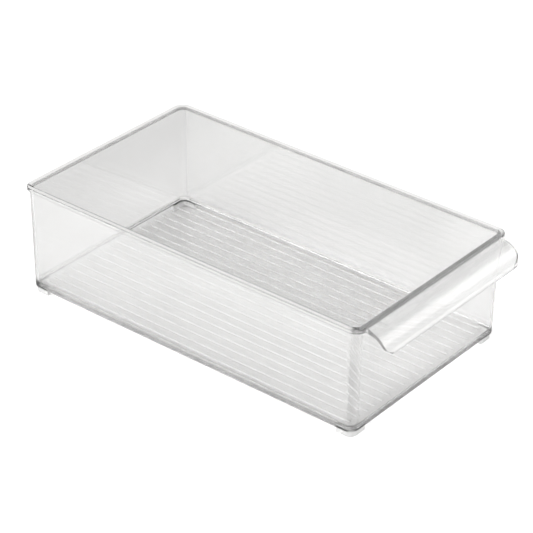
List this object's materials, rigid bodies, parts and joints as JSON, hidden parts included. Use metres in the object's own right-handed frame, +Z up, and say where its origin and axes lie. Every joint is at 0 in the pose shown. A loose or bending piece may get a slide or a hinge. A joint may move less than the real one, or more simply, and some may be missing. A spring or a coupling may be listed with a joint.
{
  "type": "fridge bin",
  "caption": "Clear moulded storage bin for a fridge shelf: long open tray with a ribbed floor, lipped rim, arched pull handle across the front and small corner feet.",
  "frame": {"origin": "middle of the overall footprint, handle included, at the level the feet stand on", "axes": "+Z up; -Y towards the handle (the front, pulled out of the fridge); +X to the right when looking along +Y from the handle, so the left feet are at -X"},
  "size_m": [0.203, 0.3684, 0.1008],
  "materials": {
    "clear_shell": "clear, glossy, moulded",
    "clear_foot": "clear with a slight haze"
  },
  "bodies": {
    "root": {"bin_shell": "clear_shell", "foot_front_left": "clear_foot", "foot_front_right": "clear_foot", "foot_rear_left": "clear_foot", "foot_rear_right": "clear_foot"}
  },
  "joints": []
}
